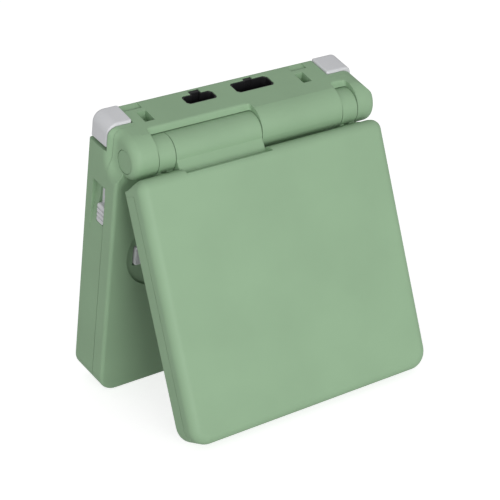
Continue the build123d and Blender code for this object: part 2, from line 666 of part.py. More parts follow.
# ------------------------------------------------------------ side slide switches
def side_scoop():
    """Finger scoop and switch pocket in the left side."""
    scoop = extrude(Pos(0, 0, -SCOOP_BACK) * make_face(Polyline(
        (-BIG, SCOOP_TOP_Y), (POCKET_FLOOR_X, SCOOP_TOP_Y),
        (-HALF, SCOOP_BOTTOM_Y), (-BIG, SCOOP_BOTTOM_Y), close=True)),
        SCOOP_BACK - SEAM_DEPTH)
    scoop += block(-BIG, POCKET_FLOOR_X, SCOOP_ROOM_Y0, SCOOP_TOP_Y,
                   -KNOB_BACK - SHOULDER_GAP, -SEAM_DEPTH)
    half = PLATE_HEIGHT / 2 + SEAT
    scoop += block(POCKET_FLOOR_X - SEAT, POCKET_FLOOR_X + PLATE_THICK + SEAT,
                   CHANNEL_Y0, CHANNEL_Y1, -STEM_MIDDLE - half, -STEM_MIDDLE + half)
    half = STEM_HEIGHT / 2 + SEAT
    scoop += block(POCKET_FLOOR_X, PAD_X + PAD_THICK + 1, STEM_ROOM_Y0, STEM_ROOM_Y1,
                   -STEM_MIDDLE - half, -STEM_MIDDLE + half)
    return scoop


def side_pad():
    """Thicker wall behind the scoop."""
    return block(PAD_X - 0.1, PAD_X + PAD_THICK, CHANNEL_Y0 - WALL, CHANNEL_Y1 + WALL,
                 -FLOOR, -SEAM_DEPTH)


def slide_knob():
    """Ridged grip, dust plate and stem of the left side's slide switch."""
    y = KNOB_MIDDLE_Y
    face_x = POCKET_FLOOR_X - KNOB_PROUD
    grip = block(face_x, POCKET_FLOOR_X - SEAT, y - KNOB_LENGTH / 2, y + KNOB_LENGTH / 2,
                 -KNOB_BACK, -SEAM_DEPTH - SHOULDER_GAP)
    grip = fillet(grip.edges().filter_by(Axis.X), KNOB_ROUND)
    grip = fillet(grip.faces().sort_by(Axis.X)[0].edges(), KNOB_EDGE)
    for step in (-1, 0, 1):
        groove_y = y + step * RIDGE_PITCH
        grip -= block(face_x - 1, face_x + RIDGE_DEPTH, groove_y - RIDGE_WIDTH / 2,
                      groove_y + RIDGE_WIDTH / 2, -BASE_DEPTH, 0)
    half = PLATE_HEIGHT / 2
    plate = block(POCKET_FLOOR_X - SEAT, POCKET_FLOOR_X + PLATE_THICK, PLATE_Y0, PLATE_Y1,
                  -STEM_MIDDLE - half + SEAT, -STEM_MIDDLE + half - SEAT)
    half = STEM_HEIGHT / 2
    stem = block(POCKET_FLOOR_X, PAD_X + PAD_THICK + STEM_BITE, y - STEM_LENGTH / 2,
                 y + STEM_LENGTH / 2, -STEM_MIDDLE - half + SEAT, -STEM_MIDDLE + half - SEAT)
    return grip + plate + stem


def slide_switch():
    """Switch body under the board, with the groove its stem runs in."""
    x0 = PAD_X + PAD_THICK + SEAT
    body = block(x0, x0 + SLIDE_SWITCH_DEPTH, STEM_ROOM_Y0 - SWITCH_END, STEM_ROOM_Y1 + SWITCH_END,
                 -STEM_MIDDLE - STEM_HEIGHT, -SEAM_DEPTH)
    half = STEM_HEIGHT / 2 + SEAT
    return body - block(x0 - 1, x0 + STEM_BITE + 0.1, STEM_ROOM_Y0, STEM_ROOM_Y1,
                        -STEM_MIDDLE - half, -STEM_MIDDLE + half)


def right_hand(shape):
    return mirror(shape, about=Plane.YZ)


# ------------------------------------------------------------------ back shell
def tray_box(grow, z0, z1):
    return block(BATTERY_X0 - TRAY_GAP - grow, BATTERY_X1 + TRAY_GAP + grow,
                 BATTERY_Y0 - TRAY_GAP - grow, BATTERY_Y1 + TRAY_GAP + grow, z0, z1)


def cover_tab(grow, z0, z1):
    x, y = COVER_SCREW
    tab = block(x - TAB_HALF - grow, x + TAB_HALF + grow, BATTERY_Y1 - 1, y, z0, z1)
    return tab + post(x, y, z0, z1, TAB_HALF + grow)


def cover_hook(x, grow, z0, z1):
    y1 = BATTERY_Y0 - TRAY_GAP + COVER_GAP
    return block(x - HOOK_HALF - grow, x + HOOK_HALF + grow, y1 - HOOK_REACH - grow,
                 y1 + 1, z0, z1)


def battery_cover():
    back = -BASE_DEPTH
    plate = tray_box(-COVER_GAP, back, back + COVER_THICK)
    plate = fillet(plate.edges().filter_by(Axis.Z), COVER_CORNER)
    plate += cover_tab(-COVER_GAP, back, back + COVER_THICK)
    for x in HOOK_X:
        plate += cover_hook(x, 0, -FLOOR + SEAT, -FLOOR + HOOK_THICK)
        y1 = BATTERY_Y0 - TRAY_GAP + COVER_GAP
        plate += block(x - HOOK_HALF, x + HOOK_HALF, y1, y1 + 1, back + HOOK_NECK,
                       -FLOOR + HOOK_THICK)
    side, end = COVER_RIB_IN
    for x in (BATTERY_X0 + side, BATTERY_X1 - side):
        plate += block(x, x + RIB, BATTERY_Y0 + end, BATTERY_Y1 - end, back + COVER_THICK,
                       -TRAY_ROOF - TRAY_GAP - BATTERY_THICK)
    x, y = COVER_SCREW
    plate -= post(x, y, back - 1, back + COVER_SCREW_SINK + COVER_SCREW_HEAD,
                  SCREW_HEAD_R + COVER_GAP)
    plate -= post(x, y, back - 1, 0, SCREW_R + COVER_GAP)
    return plate


def base_back_shell(outline):
    shell = outline - front_region()
    shell -= base_room()
    for side in (-1, 1):
        shell -= shoulder_notch(side)
    for hole in shoulder_pin_holes():
        shell -= hole
    # card bay: mouth in the front wall, thumb cut in the back face, two guide ribs
    bay = CARD_HALF_WIDTH + BAY_GAP
    shell -= block(-bay, bay, -BIG, WALL - BASE_REACH + 0.1, -FLOOR, 0)
    thumb = rounded_plate(-BAY_MOUTH_X, BAY_MOUTH_X, -BIG, BAY_MOUTH_REACH - BASE_REACH,
                          -BIG, 0, 2.0)
    shell -= thumb
    for side in (-1, 1):
        x0, x1 = sorted((side * bay, side * (bay + RIB)))
        shell += block(x0, x1, WALL - BASE_REACH, CARD_BAY_END_Y, -FLOOR, -SEAM_DEPTH)
    # battery tray with its roof, open at the back face
    tray_wall = tray_box(TRAY_WALL, -FLOOR, -TRAY_ROOF + TRAY_WALL)
    shell += tray_wall - tray_box(0, -FLOOR, -TRAY_ROOF)
    pad = cover_tab(TRAY_WALL, -FLOOR - 0.1, -FLOOR + COVER_PAD)
    pad &= block(-BIG, BIG, BATTERY_Y1 + TRAY_GAP, NOTCH_FLOOR_Y, -BIG, BIG)
    shell += pad
    shell += post(*COVER_SCREW, -FLOOR, -ROOF, POST_R)
    shell -= tray_box(0, -BIG, -FLOOR)
    shell -= cover_tab(0, -BIG, -BASE_DEPTH + COVER_THICK + COVER_GAP)
    shell -= post(*COVER_SCREW, -BASE_DEPTH, -BASE_DEPTH + COVER_SCREW_TIP + TIP_GAP,
                  SCREW_R + SEAT)
    for x in HOOK_X:
        shell -= cover_hook(x, COVER_GAP, -FLOOR, -FLOOR + HOOK_ROOM)
    # scoops and switch seats
    shell += side_pad() + right_hand(side_pad())
    shell -= side_scoop()
    shell -= right_hand(side_scoop())
    # screw bosses
    for x, y in FRONT_SCREWS:
        shell += post(x, y, -FLOOR, -SEAM_DEPTH, BOSS_R)
    for x, y in REAR_SCREWS:
        shell += post(x, y, -FLOOR, -ROOF, BOSS_R) & block(-HALF + WALL, HALF - WALL,
                                                           -BIG, BIG, -BIG, BIG)
    for x, y in FRONT_SCREWS + REAR_SCREWS:
        shell -= post(x, y, -BIG, -BASE_DEPTH + SCREW_SINK, SCREW_HEAD_R + COVER_GAP)
        shell -= post(x, y, -BIG, 0, SCREW_R + SEAT)
    return shell


def screw_cross(x, y, z):
    """The cross cut in a screw's head, whose outer face is at z."""
    deep = 2 * CROSS_DEPTH
    cross = Box(CROSS_LENGTH, CROSS_WIDTH, deep) + Box(CROSS_WIDTH, CROSS_LENGTH, deep)
    return Pos(x, y, z) * cross


def screw(x, y, head_z, tip_z):
    """A pan-head screw whose head's outer face is at head_z."""
    up = 1 if tip_z > head_z else -1
    head = post(x, y, min(head_z, head_z + up * SCREW_HEAD),
                max(head_z, head_z + up * SCREW_HEAD), SCREW_HEAD_R)
    shank = post(x, y, min(head_z, tip_z), max(head_z, tip_z), SCREW_R)
    return head + shank - screw_cross(x, y, head_z)


def base_screws():
    head = -BASE_DEPTH + SCREW_SINK - SCREW_HEAD
    return Compound([screw(x, y, head, SCREW_BITE - SEAM_DEPTH)
                     for x, y in FRONT_SCREWS + REAR_SCREWS])


def battery_cover_screw():
    x, y = COVER_SCREW
    z = COVER_SCREW_SINK - BASE_DEPTH
    head = post(x, y, z, z + COVER_SCREW_HEAD, SCREW_HEAD_R)
    head += post(x, y, z, COVER_SCREW_TIP - BASE_DEPTH, SCREW_R)
    return head - screw_cross(x, y, z)


# ------------------------------------------------------------------ inside the base
def battery():
    pack = block(BATTERY_X0, BATTERY_X1, BATTERY_Y0, BATTERY_Y1,
                 -TRAY_ROOF - TRAY_GAP - BATTERY_THICK, -TRAY_ROOF - TRAY_GAP)
    return fillet(pack.edges().filter_by(Axis.X), BATTERY_ROUND)


def battery_contacts():
    """Three leaf contacts on the tray's left wall."""
    wall_x = BATTERY_X0 - TRAY_GAP
    middle = (BATTERY_Y0 + BATTERY_Y1) / 2
    return Compound([block(wall_x, wall_x + TRAY_GAP - SEAT, y - CONTACT_WIDTH / 2,
                           y + CONTACT_WIDTH / 2, -TRAY_ROOF - CONTACT_HEIGHT, -TRAY_ROOF)
                     for y in (middle - CONTACT_PITCH, middle, middle + CONTACT_PITCH)])


def main_board():
    edge = HALF - WALL - BOARD_GAP
    board = rounded_plate(-edge, edge, WALL - BASE_REACH + BOARD_GAP, CAVITY_END_Y - BOARD_GAP,
                          -SEAM_DEPTH, -BOARD_TOP, PLAN_CORNER - WALL)
    for x, y in FRONT_SCREWS:
        board -= post(x, y, -BASE_DEPTH, 0, POST_R + BOSS_GAP)
    return board - post(0, SPEAKER_Y, -BASE_DEPTH, 0, SPEAKER_R + SPEAKER_GAP)


def board_chips():
    """Processor, memory and power parts on the board's back."""
    return Compound([block(x - width / 2, x + width / 2, y - height / 2, y + height / 2,
                           -SEAM_DEPTH - CHIP_THICK, -SEAM_DEPTH)
                     for x, y, width, height in CHIPS])


def card_connector():
    half = CARD_HALF_WIDTH - CONNECTOR_SHORT
    y1 = CARD_BAY_END_Y + CONNECTOR_LENGTH
    body = block(-half, half, CARD_BAY_END_Y, y1, -FLOOR, -SEAM_DEPTH)
    front, back = CARD_MOUTH
    return body - block(CONNECTOR_END - half, half - CONNECTOR_END, CARD_BAY_END_Y - 1,
                        y1 - CONNECTOR_BACK, -back, -front)


def card_contacts():
    """The row of spring pins in the card connector."""
    first = -(CARD_PIN_COUNT - 1) / 2 * CARD_PIN_PITCH
    half = CARD_PIN_WIDTH / 2
    pins = []
    for i in range(CARD_PIN_COUNT):
        x = first + i * CARD_PIN_PITCH
        pins.append(block(x - half, x + half, CARD_BAY_END_Y + CARD_PIN_SETBACK,
                          CARD_BAY_END_Y + CONNECTOR_LENGTH - CONNECTOR_BACK,
                          -CARD_MOUTH[0] - CARD_PIN_THICK, -CARD_MOUTH[0]))
    return Compound(pins)


def socket(port, key):
    """A socket: body behind the hinge-end wall, sleeve through it, hollow and tongue."""
    x0, x1, front, back = port
    y1 = END_FACE_Y - END_WALL
    y0 = y1 - PORT_DEPTH
    body = block(x0 - 3 * SOCKET_WALL, x1 + 3 * SOCKET_WALL, y0, y1,
                 -FLOOR, -front + SOCKET_WALL)
    below = prism_x(-BIG, BIG, polygon_yz(
        (y1 - SOCKET_WALL, 0), (end_face_y(0) - SOCKET_SETBACK, 0),
        (end_face_y(-BASE_DEPTH) - SOCKET_SETBACK, -BASE_DEPTH),
        (y1 - SOCKET_WALL, -BASE_DEPTH)))
    body += along_y(socket_face(port, key, -SEAT), 0, 2 * END_FACE_Y) & below
    notch = (key[0], key[1], min(key[2], FLOOR - SOCKET_WALL))
    hollow = along_y(socket_face(port, notch, -SOCKET_WALL), y0 + SOCKET_FLOOR, 2 * END_FACE_Y)
    middle = (front + back) / 2
    tongue = block(x0 + TONGUE_END, x1 - TONGUE_END, y0, y1 - TONGUE_SETBACK,
                   -middle - TONGUE_THICK / 2, -middle + TONGUE_THICK / 2)
    return body - hollow + tongue


def socket_contacts():
    """Metal strips on the tongues of both sockets."""
    strips = []
    y1 = END_FACE_Y - END_WALL
    for port, count in zip((POWER_PORT, LINK_PORT), STRIP_COUNTS):
        x0, x1, front, back = port
        pitch = (x1 - x0 - 2 * STRIP_END) / (count - 1)
        top = (TONGUE_THICK - front - back) / 2
        for i in range(count):
            x = x0 + STRIP_END + i * pitch
            strips.append(block(x - STRIP_WIDTH / 2, x + STRIP_WIDTH / 2,
                                y1 - PORT_DEPTH + SOCKET_FLOOR + 1, y1 - STRIP_SETBACK,
                                top, top + STRIP_THICK))
    return Compound(strips)


def speaker():
    front = -WALL
    rim = SPEAKER_RIM_GAP - SEAM_DEPTH
    body = post(0, SPEAKER_Y, rim, front, SPEAKER_R)
    return body + post(0, SPEAKER_Y, TRAY_WALL + SPEAKER_MAGNET_GAP - TRAY_ROOF, rim,
                       SPEAKER_R / 2)


def rubber(x, y, width, height, domes):
    """A rubber sheet on the board with a low dome under each key."""
    sheet = block(x - width / 2, x + width / 2, y - height / 2, y + height / 2,
                  -BOARD_TOP, -RUBBER_TOP)
    for dx, dy, radius in domes:
        sheet += post(dx, dy, -RUBBER_TOP, -RUBBER_TOP + RUBBER_DOME, radius)
    return sheet


def dpad_rubber():
    reach = DPAD_FLANGE_R - DOME_R - 0.1
    domes = [(DPAD_X + i * reach, DPAD_Y + j * reach, DOME_R)
             for i, j in ((1, 0), (-1, 0), (0, 1), (0, -1))]
    return rubber(DPAD_X, DPAD_Y, DPAD_SPAN, DPAD_SPAN, domes)


def action_rubber():
    width = abs(A_X - B_X) + 2 * ACTION_R - RUBBER_MARGIN
    height = abs(A_Y - B_Y) + 2 * ACTION_R - 2 * RUBBER_MARGIN
    return rubber((A_X + B_X) / 2, (A_Y + B_Y) / 2, width, height,
                  [(A_X, A_Y, ACTION_R / 2), (B_X, B_Y, ACTION_R / 2)])


def menu_rubber():
    return rubber(0, MENU_Y, 2 * MENU_X + 3 * MENU_R, 3 * MENU_R,
                  [(-MENU_X, MENU_Y, MENU_R / 2), (MENU_X, MENU_Y, MENU_R / 2)])


def light_rubber():
    return rubber(0, LIGHT_Y, LIGHT_LENGTH, LIGHT_WIDTH + 2 * LIGHT_RUBBER_MARGIN,
                  [(0, LIGHT_Y, LIGHT_DOME_R)])


def shoulder_switches():
    near = SHOULDER_INNER_X + SHOULDER_LEG + SHOULDER_GAP
    front, back = SWITCH_DEPTHS
    right = block(near, near + SWITCH_WIDTH, NOTCH_FLOOR_Y, NOTCH_FLOOR_Y + SWITCH_HEIGHT,
                  -back, -front)
    return Compound([right_hand(right), right])


# ------------------------------------------------------------------ hinge pieces
def hinge_pin():
    """Hollow pin of the left side: fixed in the base, turning in the lid."""
    x0 = HINGE_LEFT_END + CAP_SETBACK + CAP_DEPTH + SEAT
    x1 = LEFT_RING_END + PIN_REACH
    return rod_x(x0, x1, PIN_R) - rod_x(x0 - 1, x1 + 1, PIN_BORE_R)


def hinge_cartridge():
    """Friction unit of the right side, fixed in the base."""
    x1 = RIGHT_RING_START - HALF_GAP
    return (rod_x(CARTRIDGE_START, x1, CARTRIDGE_R)
            - rod_x(SHAFT_START - 0.2, x1 + 1, SHAFT_R + RUNNING))


def hinge_shaft():
    """Shaft of the friction unit, fixed in the lid's right ring."""
    return rod_x(SHAFT_START, SHAFT_END, SHAFT_R)


def hinge_caps():
    left = HINGE_LEFT_END + CAP_SETBACK
    right = HINGE_RIGHT_END - CAP_SETBACK
    left_cap = rod_x(left, left + CAP_DEPTH, CAP_R)
    right_cap = rod_x(right - CAP_DEPTH, right, CAP_R)
    return Compound([fillet(left_cap.faces().sort_by(Axis.X)[0].edges(), 0.3),
                     fillet(right_cap.faces().sort_by(Axis.X)[-1].edges(), 0.3)])


# ------------------------------------------------------------------ moving controls
def shoulder_button(side, corner_radius):
    """A shoulder button, as the left one: corner cap, leg round the pivot, overhang behind."""
    outer = -HALF - side
    inner = -SHOULDER_INNER_X
    skin = SHOULDER_SKIN - HALF
    leg = inner - SHOULDER_LEG
    join = LEDGE_BACK - SHOULDER_GAP
    button = extrude(Pos(0, 0, -join) * make_face(Polyline(
        (outer, SHOULDER_FOOT_Y), (outer, 2 * END_FACE_Y), (inner, 2 * END_FACE_Y),
        (inner, LEG_FOOT_Y), (leg, LEG_FOOT_Y), (leg, SHOULDER_ROOF_Y),
        (skin, SHOULDER_ROOF_Y), (skin, SHOULDER_FOOT_Y), close=True)),
        join - SHOULDER_FRONT)
    button += extrude(Pos(0, 0, -SHOULDER_BACK) * make_face(Polyline(
        (outer, SHOULDER_FOOT_Y), (outer, 2 * END_FACE_Y), (inner, 2 * END_FACE_Y),
        (inner, OVERHANG_Y), (skin, OVERHANG_Y), (skin, SHOULDER_FOOT_Y), close=True)),
        SHOULDER_BACK - join)
    top = SHOULDER_RAISE
    button &= prism_x(-BIG, BIG, polygon_yz(
        (-BASE_REACH, -BASE_DEPTH), (end_face_y(-BASE_DEPTH) + top, -BASE_DEPTH),
        (end_face_y(0) + top, 0), (-BASE_REACH, 0)))
    for level, radius in ((outer, corner_radius), (inner, SHOULDER_INNER_EDGE)):
        corner = [e for e in button.edges()
                  if abs(e.center().X - level) < 0.01 and e.center().Y > END_FACE_Y + 0.3
                  and abs(e.tangent_at(0.5).Z) > 0.9]
        button = fillet(corner, radius)
    for level, radius in ((-SHOULDER_FRONT, SHOULDER_EDGE), (-SHOULDER_BACK, SHOULDER_REAR_EDGE)):
        rim = [e for e in button.edges() if abs(e.center().Z - level) < 0.01
               and (e.center().Y > END_FACE_Y + 0.5
                    or e.center().X < skin - 0.01 and e.center().Y > SHOULDER_FOOT_Y + 0.1)]
        button = fillet(rim, radius)
    return button - post(-SHOULDER_PIVOT_X, SHOULDER_PIVOT_Y, -BASE_DEPTH, 0,
                         SHOULDER_PIN_R + RUNNING)


def dpad():
    pad = extrude(Pos(0, 0, -FLANGE_TOP) * cross_face(DPAD_SPAN, DPAD_ARM, DPAD_CORNER),
                  FLANGE_TOP + DPAD_TOP)
    pad = fillet(pad.faces().sort_by(Axis.Z)[-1].edges(), KEY_EDGE)
    pad += post(0, 0, -FLANGE_BOTTOM, -FLANGE_TOP, DPAD_FLANGE_R)
    pad -= Pos(0, 0, DPAD_TOP - DPAD_HOLLOW + DPAD_HOLLOW_R) * Sphere(DPAD_HOLLOW_R)
    pad -= Pos(0, 0, -PIVOT_DEPTH) * Sphere(PIVOT_R + RUNNING)
    return Pos(DPAD_X, DPAD_Y, 0) * pad


def dpad_pivot():
    return Pos(DPAD_X, DPAD_Y, -PIVOT_DEPTH) * Sphere(PIVOT_R)


def round_key(x, y, radius, top, edge):
    key = post(x, y, -FLANGE_BOTTOM, top, radius)
    key = fillet(key.faces().sort_by(Axis.Z)[-1].edges(), edge)
    return key + post(x, y, -FLANGE_BOTTOM, -FLANGE_TOP, radius + KEY_FLANGE)


def light_button():
    key = slot_plate(0, LIGHT_Y, LIGHT_LENGTH, LIGHT_WIDTH, -FLANGE_BOTTOM, SMALL_KEY_TOP)
    key = fillet(key.faces().sort_by(Axis.Z)[-1].edges(), KEY_EDGE)
    return key + slot_plate(0, LIGHT_Y, LIGHT_LENGTH + 2 * KEY_FLANGE,
                            LIGHT_WIDTH + 2 * KEY_FLANGE, -FLANGE_BOTTOM, -FLANGE_TOP)


# ------------------------------------------------------------------ lid
def lid_plate():
    plate = block(-HALF, HALF, -LID_REACH, -LID_HINGE_GAP, LID_BOTTOM, LID_TOP)
    uprights = plate.edges().filter_by(Axis.Z).sort_by(Axis.Y)
    plate = fillet(uprights[:2], PLAN_CORNER)
    uprights = [e for e in plate.edges().filter_by(Axis.Z)
                if e.center().Y > -LID_HINGE_GAP - 0.01]
    plate = fillet(uprights, LID_HINGE_CORNER)
    plate = fillet(plate.faces().sort_by(Axis.Z)[-1].edges(), LID_OUTER_EDGE)
    return fillet(plate.faces().sort_by(Axis.Z)[0].edges(), LID_INNER_EDGE)


def barrel_face():
    """Section of the wide barrel with the flange that carries it into the lid's edge."""
    lean = math.radians(FLANGE_START)
    foot = (HINGE_R * math.cos(lean), HINGE_R * math.sin(lean))
    level = LID_BOTTOM + FLANGE_LEVEL
    flange = make_face(Polyline(
        (0, LID_BOTTOM), (0, foot[1]), foot, (-LID_HINGE_GAP - FLANGE_NOTCH, level),
        (-FILL_Y, level), (-FILL_Y, LID_BOTTOM), close=True))
    return Plane.YZ * (Circle(HINGE_R) + flange)


def ring_face():
    """Section of a ring, which runs round into the lid's own edge."""
    return Plane.YZ * (Circle(HINGE_R) + make_face(Polyline(
        (0, LID_BOTTOM), (0, RING_FLANGE), (-FILL_Y, RING_FLANGE), (-FILL_Y, LID_BOTTOM),
        close=True)))


def lid_outline():
    solid = lid_plate()
    spans = ((-BIG, LEFT_RING_START + HALF_GAP),
             (HALF_SPLIT - HALF_GAP, RIGHT_RING_START + HALF_GAP),
             (RIGHT_RING_END - HALF_GAP, BIG))
    for x0, x1 in spans:
        solid -= rod_x(x0, x1, LID_RELIEF_R)
    solid -= block(LEFT_RING_END, HALF_SPLIT - HALF_GAP, -LID_HINGE_GAP - FLANGE_NOTCH, BIG,
                   0, BIG)
    solid += prism_x(LEFT_RING_END, HALF_SPLIT - HALF_GAP, barrel_face())
    solid += prism_x(LEFT_RING_START + HALF_GAP, LEFT_RING_END, ring_face())
    solid += prism_x(RIGHT_RING_START + HALF_GAP, RIGHT_RING_END - HALF_GAP, ring_face())
    groove = rod_x(LEFT_RING_END - HALF_GAP, LEFT_RING_END + HALF_GAP, LID_RELIEF_R)
    solid -= groove - rod_x(-BIG, BIG, PIN_R + 1.5)
    starts = (LEFT_RING_START + HALF_GAP, RIGHT_RING_START + HALF_GAP)
    for start, (offset, width) in zip(starts, RING_SLOT):
        ring = rod_x(start + offset, start + offset + width, LID_RELIEF_R)
        solid -= ring - rod_x(-BIG, BIG, HINGE_R)
    return solid


def lid_room():
    wide = HALF - LID_WALL
    return rounded_plate(-wide, wide, LID_WALL - LID_REACH, -FILL_Y,
                         LID_BOTTOM + BEZEL_PLATE, LID_TOP - LID_WALL,
                         PLAN_CORNER - LID_WALL)


def outer_region():
    region = block(-BIG, BIG, -BIG, BIG, LID_BOTTOM + LID_SEAM, BIG)
    return region + block(-BIG, BIG, -FILL_Y, BIG, -BIG, BIG)


def lid_screw_places():
    return [(side * LID_SCREW_X, y) for side in (-1, 1) for y in LID_SCREW_Y]


def cable_path(grow):
    """Ribbon from the display's back, through the hinge block, into the barrel."""
    half = CABLE_WIDTH / 2 + grow
    x0, x1 = CABLE_X - half, CABLE_X + half
    level = CABLE_BORE_R - CABLE_ROOM
    over = LID_BOTTOM + BEZEL_PLATE + PANEL_THICK + LIGHT_GUIDE_THICK + CABLE_LIFT
    edge_y = SCREEN_Y + PANEL_HEIGHT / 2 + CABLE_BEND
    t = CABLE_THICK / 2 + grow
    path = block(x0, x1, edge_y - CABLE_TAIL, edge_y + t, over, over + 2 * t)
    path += block(x0, x1, edge_y - t, edge_y + t, level - t, over + 2 * t)
    path += block(x0, x1, edge_y - t, -0.4, level - t, level + t)
    return path


def lid_outer_shell(outline):
    shell = (outline & outer_region()) - lid_room()
    for x, y in lid_screw_places():
        shell += post(x, y, LID_BOTTOM + BEZEL_PLATE, LID_TOP - LID_WALL, POST_R)
        shell -= post(x, y, LID_BOTTOM, LID_BOTTOM + LID_SCREW_LENGTH + TRAY_GAP,
                      SCREW_R + SEAT)
    shell -= rod_x(LEFT_RING_START - 1, LEFT_RING_END + PIN_REACH + 1, PIN_R + RUNNING)
    shell -= rod_x(LEFT_RING_END + PIN_REACH + 1, HALF_SPLIT - 2.0, CABLE_BORE_R)
    shell -= rod_x(RIGHT_RING_START - 1, RIGHT_RING_END + 1, SHAFT_R + SEAT)
    slot = cable_path(CABLE_ROOM)
    return shell - (slot & block(-BIG, BIG, -FILL_Y - 1, BIG, -BIG, BIG))


def lid_bezel(outline):
    bezel = (outline - outer_region()) - lid_room()
    gap = LENS_GAP
    lens_top = LID_BOTTOM + LENS_SETBACK + LENS_THICK
    bezel -= Pos(0, SCREEN_Y, 0) * rounded_plate(
        -LENS_WIDTH / 2 - gap, LENS_WIDTH / 2 + gap, -LENS_HEIGHT / 2 - gap,
        LENS_HEIGHT / 2 + gap, -1, lens_top, LENS_CORNER + gap)
    bezel -= Pos(0, SCREEN_Y, 0) * block(
        -SCREEN_WIDTH / 2 - WINDOW_MARGIN, SCREEN_WIDTH / 2 + WINDOW_MARGIN,
        -SCREEN_HEIGHT / 2 - WINDOW_MARGIN, SCREEN_HEIGHT / 2 + WINDOW_MARGIN, -1, LID_TOP)
    for x, y in lid_screw_places():
        bezel -= post(x, y, 0, LID_BOTTOM + PLUG_THICK + SCREW_HEAD, PLUG_R + SEAT)
        bezel -= post(x, y, 0, LID_TOP, SCREW_R + SEAT)
    seam = LID_BOTTOM + LID_SEAM
    return bezel - seam_groove(seam - SEAM_WIDTH, seam, LID_REACH, -FILL_Y)


def screen_lens():
    z0 = LID_BOTTOM + LENS_SETBACK
    return Pos(0, SCREEN_Y, 0) * rounded_plate(
        -LENS_WIDTH / 2, LENS_WIDTH / 2, -LENS_HEIGHT / 2, LENS_HEIGHT / 2,
        z0, z0 + LENS_THICK, LENS_CORNER)


def display_plate(z0, thick):
    return Pos(0, SCREEN_Y, z0 + thick / 2) * Box(PANEL_WIDTH, PANEL_HEIGHT, thick)


def lcd_panel():
    return display_plate(LID_BOTTOM + BEZEL_PLATE, PANEL_THICK)


def light_guide():
    return display_plate(LID_BOTTOM + BEZEL_PLATE + PANEL_THICK, LIGHT_GUIDE_THICK)


def display_frame():
    z0 = LID_BOTTOM + BEZEL_PLATE
    z1 = z0 + PANEL_THICK + LIGHT_GUIDE_THICK
    wide, high = PANEL_WIDTH / 2 + SEAT, PANEL_HEIGHT / 2 + SEAT
    frame = block(-wide - FRAME_WALL, wide + FRAME_WALL, -high - FRAME_WALL,
                  high + FRAME_WALL, z0, z1)
    return Pos(0, SCREEN_Y, 0) * (frame - block(-wide, wide, -high, high, z0 - 1, z1 + 1))


def screen_ribbon():
    x0, x1 = CABLE_X - CABLE_WIDTH / 2 + ROLL_INSET, CABLE_X + CABLE_WIDTH / 2
    roll_r = CABLE_BORE_R - ROLL_GAP
    roll = rod_x(x0, x1, roll_r) - rod_x(-BIG, BIG, roll_r - ROLL_THICK)
    drop = block(x0, x1, -0.5, CABLE_THICK - 0.5, roll_r - CABLE_THICK / 2,
                 CABLE_BORE_R - CABLE_THICK / 2)
    return cable_path(0) + roll + drop


def lid_screws():
    head = LID_BOTTOM + PLUG_THICK
    return Compound([screw(x, y, head, LID_BOTTOM + LID_SCREW_LENGTH)
                     for x, y in lid_screw_places()])


def screw_plugs():
    return Compound([post(x, y, LID_BOTTOM, LID_BOTTOM + PLUG_THICK, PLUG_R)
                     for x, y in lid_screw_places()])


# ------------------------------------------------------------------ standing pose
def lean_angle():
    """How far the base leans back when both front edges touch the table."""
    turn = math.radians(REST_OPENING)
    base_y, base_z = BASE_INNER_EDGE - BASE_REACH, -BASE_INNER_EDGE
    flat_y, flat_z = LID_INNER_EDGE - LID_REACH, LID_BOTTOM + LID_INNER_EDGE
    lid_y = flat_y * math.cos(turn) + flat_z * math.sin(turn)
    lid_z = flat_z * math.cos(turn) - flat_y * math.sin(turn)
    across, up = base_y - lid_y, base_z - lid_z
    span = math.hypot(across, up)
    level = math.acos((BASE_INNER_EDGE - LID_INNER_EDGE) / span)
    return math.degrees(-level - math.atan2(up, across))


def hinge_height():
    lean = math.radians(lean_angle())
    foot_y, foot_z = BASE_INNER_EDGE - BASE_REACH, -BASE_INNER_EDGE
    return BASE_INNER_EDGE - foot_y * math.cos(lean) + foot_z * math.sin(lean)


def base_pieces():
    outline = base_outline()
    switch = slide_switch()
    return {
        "base_front_shell": base_front_shell(outline),
        "base_back_shell": base_back_shell(outline),
        "battery_cover": battery_cover(),
        "battery_cover_screw": battery_cover_screw(),
        "battery": battery(),
        "battery_contacts": battery_contacts(),
        "base_screws": base_screws(),
        "main_board": main_board(),
        "board_chips": board_chips(),
        "card_connector": card_connector(),
        "card_contacts": card_contacts(),
        "power_socket": socket(POWER_PORT, POWER_PORT_KEY),
        "link_socket": socket(LINK_PORT, LINK_PORT_KEY),
        "socket_contacts": socket_contacts(),
        "speaker": speaker(),
        "volume_switch": switch,
        "power_switch": right_hand(switch),
        "shoulder_switches": shoulder_switches(),
        "shoulder_pins": shoulder_pins(),
        "dpad_rubber": dpad_rubber(),
        "action_rubber": action_rubber(),
        "menu_rubber": menu_rubber(),
        "light_rubber": light_rubber(),
        "indicator_windows": Compound([indicator(y) for y in INDICATOR_Y]),
        "hinge_pin": hinge_pin(),
        "hinge_cartridge": hinge_cartridge(),
        "hinge_caps": hinge_caps(),
        "left_shoulder_button": shoulder_button(SHOULDER_SIDES[0], SHOULDER_CORNERS[0]),
        "right_shoulder_button": right_hand(
            shoulder_button(SHOULDER_SIDES[1], SHOULDER_CORNERS[1])),
        "volume_knob": slide_knob(),
        "power_knob": right_hand(slide_knob()),
        "dpad": dpad(),
        "dpad_pivot": dpad_pivot(),
        "a_button": round_key(A_X, A_Y, ACTION_R, KEY_TOP, ACTION_EDGE),
        "b_button": round_key(B_X, B_Y, ACTION_R, KEY_TOP, ACTION_EDGE),
        "select_button": round_key(-MENU_X, MENU_Y, MENU_R, SMALL_KEY_TOP, KEY_EDGE),
        "start_button": round_key(MENU_X, MENU_Y, MENU_R, SMALL_KEY_TOP, KEY_EDGE),
        "light_button": light_button(),
    }


